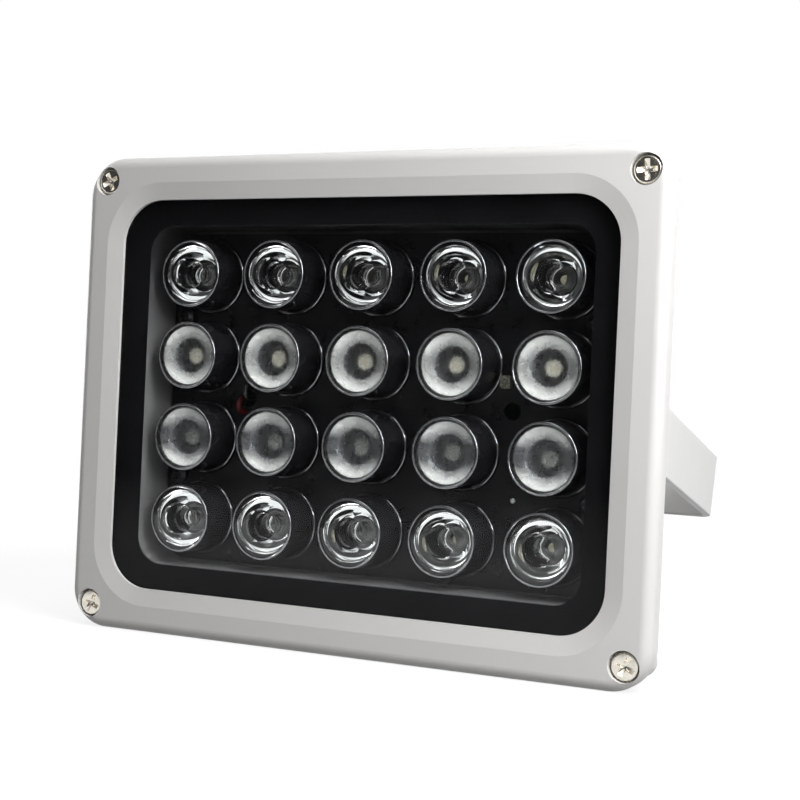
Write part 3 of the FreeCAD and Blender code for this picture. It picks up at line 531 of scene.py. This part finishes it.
def frosted_part(index):
    """Which material a ring of the frosted lens has: face, clear rim, bowl, or the pale top of its cup."""
    if index < len(FACE_RADII):
        return 0
    if index < len(face) - 1:
        return 1
    return 3 if index >= SPOT_START else 2


frosted_meshes = [turned("frosted_lens_mesh_%d" % (row + 1), face + bowl + lens_cup,
                         [frosted_face, clear_lens, silver, spot], part=frosted_part)
                  for row, silver, spot in zip(FROSTED_ROWS, bowls, spots)]
chip_mesh = turned("emitter_dome_mesh", crown(DOME_RADIUS, DOME_HEIGHT, DOME_RISE), [chip], 48)


# Lens holders

FLANGE_RADIUS, FLANGE_HEIGHT, FLANGE_ROUND = 11.0, 1.2, 0.62
WALL_FOOT_RADIUS, WALL_TOP_RADIUS, WALL_TOP, RIM_ROUND = 10.3, 9.9, 13.3, 0.34
SEAT_RADIUS, SEAT_HEIGHT = 9.3, 11.8
BORE_RADIUS, HOLE_RADIUS, HOLDER_FLOOR = 8.5, 5.0, 1.8

flange = [(HOLE_RADIUS, 0), (FLANGE_RADIUS - 0.05, 0), (FLANGE_RADIUS, 0.06)]
flange_edge = outer_edge(FLANGE_RADIUS, FLANGE_HEIGHT, FLANGE_ROUND, 10)
wall_foot = [(WALL_FOOT_RADIUS + 0.04, FLANGE_HEIGHT), (WALL_FOOT_RADIUS, FLANGE_HEIGHT + 0.06)]
rim_edge = outer_edge(WALL_TOP_RADIUS, WALL_TOP, RIM_ROUND, 15)
inner_side = [(SEAT_RADIUS + 0.12, WALL_TOP), (SEAT_RADIUS + 0.03, WALL_TOP - 0.06),
              (SEAT_RADIUS, WALL_TOP - 0.2), (SEAT_RADIUS, SEAT_HEIGHT), (BORE_RADIUS, SEAT_HEIGHT),
              (BORE_RADIUS, HOLDER_FLOOR), (HOLE_RADIUS, HOLDER_FLOOR), (HOLE_RADIUS, 0)]
rim_start = len(flange + flange_edge + wall_foot)
glossy_rings = {*range(len(flange) + 1, len(flange + flange_edge) - 3),
                *range(rim_start, rim_start + len(rim_edge) + 2)}
holder = flange + flange_edge + wall_foot + rim_edge + inner_side
cup_mesh = turned("cup_mesh", holder, [cup_plastic, cup_edge], part=lambda index: int(index in glossy_rings))

for row in range(ROWS):
    for column in range(COLUMNS):
        label = "r%dc%d" % (row + 1, column + 1)
        right, up = column - (COLUMNS - 1) / 2, (ROWS - 1) / 2 - row
        place = at(right * COLUMN_PITCH, BOARD_DEPTH, up * ROW_PITCH)
        kind = "frosted" if row in FROSTED_ROWS else "clear"
        lens = "%s_lens_%s" % (kind, label)
        mesh = frosted_meshes[FROSTED_ROWS.index(row)] if kind == "frosted" else clear_mesh
        piece(lens + "_optic", mesh, "head", place, [lens])
        piece("lens_cup_" + label, cup_mesh, "head", place, ["lens_holder_" + label])
        piece("emitter_dome_" + label, chip_mesh, "head", place)


# The printed border, which lies just inside the back of the glass

PRINT_WIDTH, PRINT_HEIGHT, PRINT_CORNER = 161, 121.5, 14.5
WINDOW_WIDTH, WINDOW_HEIGHT, WINDOW_CORNER = 138.6, 100, 8
PRINT_THICKNESS, PRINT_COVER = 0.12, 0.02


def rounded_rectangle(width, height, corner, steps=14):
    """Points of a rounded rectangle about the middle, in millimetres."""
    out = []
    for x, z, start in ((1, 1, 0), (-1, 1, 90), (-1, -1, 180), (1, -1, 270)):
        for k in range(steps + 1):
            a = math.radians(start + 90 * k / steps)
            out.append((x * (width / 2 - corner) + corner * math.cos(a),
                        z * (height / 2 - corner) + corner * math.sin(a)))
    return out


def flat_ring(name, outer, inner, depth, thickness, material):
    """A flat frame between two outlines of equal counts, at a depth of the head frame."""
    build = bmesh.new()
    back = depth + thickness
    rows = [[build.verts.new(at(x, level, z)) for x, z in points]
            for points, level in ((outer, depth), (inner, depth), (inner, back), (outer, back))]
    skin(build, rows + rows[:1], smooth=False)
    return finished(build, name, [material])


border = flat_ring("glass_print_mesh", rounded_rectangle(PRINT_WIDTH, PRINT_HEIGHT, PRINT_CORNER),
                   rounded_rectangle(WINDOW_WIDTH, WINDOW_HEIGHT, WINDOW_CORNER),
                   GLASS_BACK - PRINT_COVER - PRINT_THICKNESS, PRINT_THICKNESS, print_ink)
piece("glass_print", border, "head")


# The tinned test point at the lower right of the board

TEST_POINT_X, TEST_POINT_Z = 43.5, -24.5
TEST_POINT = ((0.7, 0.02), (0.7, 0.2), (0.5, 0.4), (0, 0.48))

test_point = turned("test_point_mesh", TEST_POINT, [solder], 32)
piece("board_test_point", test_point, "head", at(TEST_POINT_X, BOARD_DEPTH, TEST_POINT_Z))


# The bezel screws: a flat crown with a rounded edge and a tapered cross

HEAD_RADIUS, HEAD_HEIGHT, CROWN_RADIUS = 3.75, 2.2, 3.2
SHANK_RADIUS, SCREW_LENGTH, TIP_TAPER, TIP_LENGTH = 1.95, 11.0, 0.4, 0.5
CROSS_REACH, CROSS_HALF_WIDTH, CROSS_DEPTH, CROSS_TIP = 2.75, 0.72, 1.1, 0.35
SCREW_X, SCREW_Z = 83, 63
SCREW_TURNS = ((-1, 1, 0.42), (1, 1, 0.06), (-1, -1, 1.05), (1, -1, 1.1))

# The angles of a row's corners, which take in both corners of each arm of the cross
arm = math.asin(CROSS_HALF_WIDTH / CROSS_REACH)
quadrant = ([arm * k / 3 for k in range(3)] + [arm + (math.pi / 2 - 2 * arm) * k / 12 for k in range(13)]
            + [math.pi / 2 - arm + arm * k / 3 for k in (1, 2)])
ANGLES = [q * math.pi / 2 + a for q in range(4) for a in quadrant]


def cross(length, width, depth):
    """A row of a cross with rounded arms: its reach at each angle, and its depth. Length and width are shares
    of the full cross's."""
    reach, half_width = length * CROSS_REACH, width * CROSS_HALF_WIDTH
    out = []
    for a in ANGLES:
        c, s = max(abs(math.cos(a)), 1e-6), max(abs(math.sin(a)), 1e-6)
        out.append(max(min(reach, half_width / s), min(reach, half_width / c)))
    return out, depth


def circle(radius, depth):
    """A round row: the radius at each angle, and its depth."""
    return [radius] * len(ANGLES), depth


def screw_rows():
    """The rows of a screw from the cross's tip to the shank's end."""
    edge = HEAD_RADIUS - CROWN_RADIUS
    rows = [circle(0, CROSS_DEPTH + CROSS_TIP), cross(0.5, 0.8, CROSS_DEPTH), cross(0.93, 0.93, 0.12),
            cross(1, 1, 0)]
    rows += [circle(CROWN_RADIUS + edge * math.sin(a), edge * (1 - math.cos(a)))
             for a in (math.pi / 2 * k / 5 for k in range(6))]
    return rows + [circle(HEAD_RADIUS, HEAD_HEIGHT), circle(SHANK_RADIUS, HEAD_HEIGHT),
                   circle(SHANK_RADIUS, SCREW_LENGTH - TIP_LENGTH),
                   circle(SHANK_RADIUS - TIP_TAPER, SCREW_LENGTH), circle(0, SCREW_LENGTH)]


def screw_set(name, places, material):
    """Cross-recess screws in one mesh, from (x, z, turn) places in the head frame."""
    build = bmesh.new()
    for x, z, turn in places:
        rows = []
        for reach, depth in screw_rows():
            if not any(reach):
                rows.append([build.verts.new(at(x, depth, z))] * len(ANGLES))
                continue
            rows.append([build.verts.new(at(x + r * math.cos(a + turn), depth, z + r * math.sin(a + turn)))
                         for r, a in zip(reach, ANGLES)])
        skin(build, rows)
    mesh = finished(build, name, [material])
    mesh.set_sharp_from_angle(angle=SHARP_ANGLE)
    return mesh


screws = screw_set("bezel_screw_mesh", [(x * SCREW_X, z * SCREW_Z, turn) for x, z, turn in SCREW_TURNS],
                   nickel)
piece("bezel_screw_set", screws, "head", None, ["bezel_screws"])


# Camera

CAMERA_PLACE = Vector((0.200176, -0.484100, 0.023748))
YAW, PITCH, ROLL = 0.4503, 0.0011, 0.0461
FOCAL_LENGTH, SENSOR_WIDTH = 69.93, 36


def camera():
    """The camera at the place and turn of the photo's own."""
    ahead = Vector((-math.sin(YAW) * math.cos(PITCH), math.cos(YAW) * math.cos(PITCH), -math.sin(PITCH)))
    right = Vector((math.cos(YAW), math.sin(YAW), 0))
    up = right.cross(ahead)
    rolled_right = right * math.cos(ROLL) + up * math.sin(ROLL)
    rolled_up = -right * math.sin(ROLL) + up * math.cos(ROLL)
    data = bpy.data.cameras.new("camera")
    data.lens = FOCAL_LENGTH
    data.sensor_width = SENSOR_WIDTH
    data.clip_start, data.clip_end = 0.01, 50
    item = added("camera", data)
    turn = Matrix((rolled_right, rolled_up, -ahead)).transposed().to_4x4()
    item.matrix_world = Matrix.Translation(CAMERA_PLACE) @ turn
    bpy.context.scene.camera = item


camera()


# Floor, lights and world

FLOOR_RADIUS = 1.6
FADE_START, FADE_END = 0.35, 0.95
GLOW_NEAR, GLOW_START, GLOW_END = 0.8, 0.2, 0.6
AIM = Vector((0, -0.09, 0.02))
# A lamp's name, place, width and height in metres, and power in watts
LAMPS = (
    ("key", (0.33, -0.29, 0.22), 0.2, 0.3, 2.3),
    ("front", (0.3, -0.75, 0.55), 1.0, 0.4, 0.7),
    ("rim", (0.8, 0.3, 0.35), 0.5, 0.6, 0.9),
    ("top", (0.1, -0.35, 0.9), 0.6, 0.6, 3.6),
    ("left", (-1.0, 0.3, 0.35), 0.4, 0.7, 2.2),
    ("back", (0.1, 1.1, 0.6), 0.8, 0.6, 6.0),
)
# The world's light, and the side that the front glass mirrors: its direction, its level, and the cosines of
# the angles from it where the dark is full and where it ends
AMBIENT = 0.06
DARK_SIDE = Vector((-0.43, -0.9, 0.0)).normalized()
DARK_LEVEL, DARK_FULL, DARK_END = 0.05, 0.84, 0.5


def floor():
    """A round sheet of white paper that fades out into the white around it."""
    mesh = bpy.data.meshes.new("floor")
    build = bmesh.new()
    bmesh.ops.create_circle(build, cap_ends=True, radius=FLOOR_RADIUS, segments=96)
    build.to_mesh(mesh)
    build.free()
    item = added("floor", mesh)
    item.location = (0, 0, FLOOR)
    paper = Material("floor_paper", (0.20, 0.20, 0.20), 0.9, specular=0.1)
    paper.tint(paper.spread(paper.noise(6, 3), 0, 0.3), (0.19, 0.19, 0.19))
    path = paper.node("LightPath").outputs
    seen = paper.math("MAXIMUM", path["Is Camera Ray"], path["Is Glossy Ray"])
    seen = paper.math("MAXIMUM", seen, path["Is Transmission Ray"])
    distance = paper.length(paper.coords)
    level = paper.spread(distance, GLOW_NEAR, 1.0, GLOW_START, GLOW_END)
    glow = paper.node("Emission", Strength=paper.math("MULTIPLY", seen, level))
    lit = paper.node("AddShader")
    paper.feed(lit.inputs[0], paper.shader.outputs[0])
    paper.feed(lit.inputs[1], glow.outputs[0])
    clear = paper.node("BsdfTransparent")
    fade = paper.spread(distance, 0, 1, FADE_START, FADE_END)
    paper.feed(paper.output.inputs["Surface"], paper.mix_shader(fade, lit.outputs[0], clear.outputs[0]))
    mesh.materials.append(paper.data)


def softbox(name, place, width, height, power):
    """A white area light that looks at the middle of the head."""
    data = bpy.data.lights.new(name, "AREA")
    data.shape, data.size, data.size_y = "RECTANGLE", width, height
    data.energy = power
    item = added(name, data)
    item.location = place
    item.rotation_euler = (AIM - Vector(place)).to_track_quat("-Z", "Y").to_euler()
    item.visible_camera = False


def world():
    """White where the camera sees it, and where mirrors and clear pieces do apart from the dark side that the
    front glass mirrors. As light it's faint."""
    item = bpy.data.worlds.new("studio")
    bpy.context.scene.world = item
    item.use_nodes = True
    tree = Tree(item.node_tree)
    tree.tree.nodes.clear()
    path = tree.node("LightPath").outputs
    toward = tree.node("VectorMath")
    toward.operation = "DOT_PRODUCT"
    tree.feed(toward.inputs[0], tree.node("TexCoord").outputs["Generated"])
    toward.inputs[1].default_value = DARK_SIDE
    mirrored = tree.spread(toward.outputs["Value"], DARK_LEVEL, 1.0, DARK_FULL, DARK_END)
    ambient = tree.node("Background", Color=(0.96, 0.98, 1.0, 1), Strength=AMBIENT)
    shiny = tree.node("Background", Color=(1, 1, 1, 1), Strength=mirrored)
    white = tree.node("Background", Color=(1, 1, 1, 1), Strength=1.0)
    seen = tree.math("MAXIMUM", path["Is Glossy Ray"], path["Is Transmission Ray"])
    light = tree.mix_shader(seen, ambient.outputs[0], shiny.outputs[0])
    out = tree.node("OutputWorld")
    tree.feed(out.inputs["Surface"], tree.mix_shader(path["Is Camera Ray"], light, white.outputs[0]))


floor()
for lamp in LAMPS:
    softbox(*lamp)
world()
bpy.context.scene.view_settings.view_transform = "Standard"
